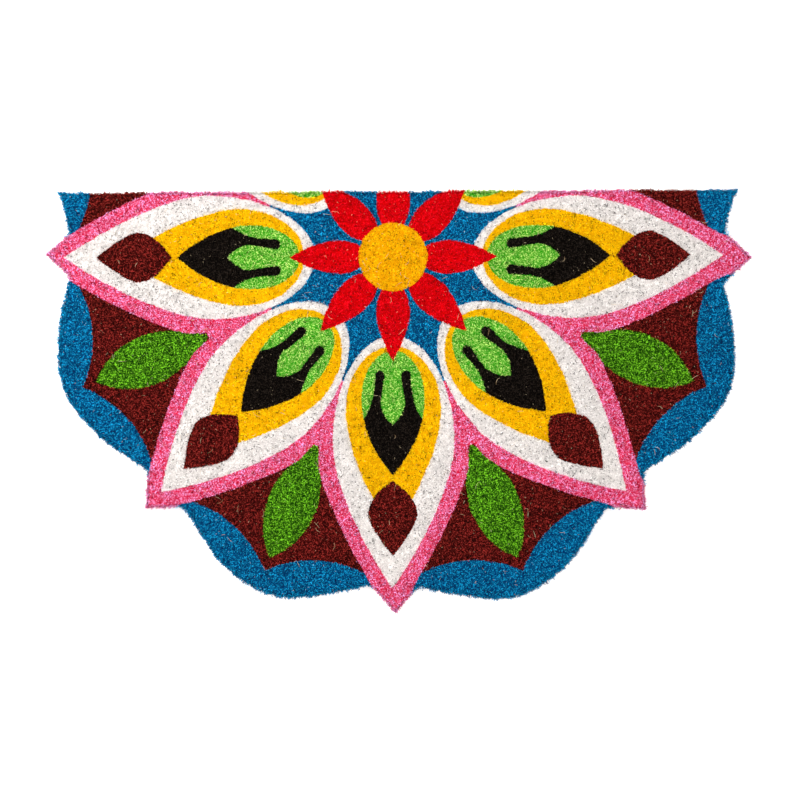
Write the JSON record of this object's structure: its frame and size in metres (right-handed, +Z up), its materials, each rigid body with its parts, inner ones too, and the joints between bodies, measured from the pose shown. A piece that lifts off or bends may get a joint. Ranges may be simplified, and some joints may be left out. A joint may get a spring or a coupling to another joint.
{
  "type": "coir mat",
  "caption": "Half-round doormat of upright coir pile, cut along a printed rosette of flower petals, with a wavy lobed edge and a straight edge for the door side.",
  "frame": {"origin": "on the underside, in the middle of the mat's bounding box", "axes": "+X along the straight edge, +Y from the lobed edge towards the straight edge, +Z up, out of the pile"},
  "size_m": [0.7624, 0.4572, 0.015],
  "materials": {
    "printed_coir": "matte upright coir pile, dyed on its surface in blue, pink, white, yellow, red, two greens, maroon and black"
  },
  "bodies": {
    "root": {"mat": "printed_coir"}
  },
  "joints": []
}
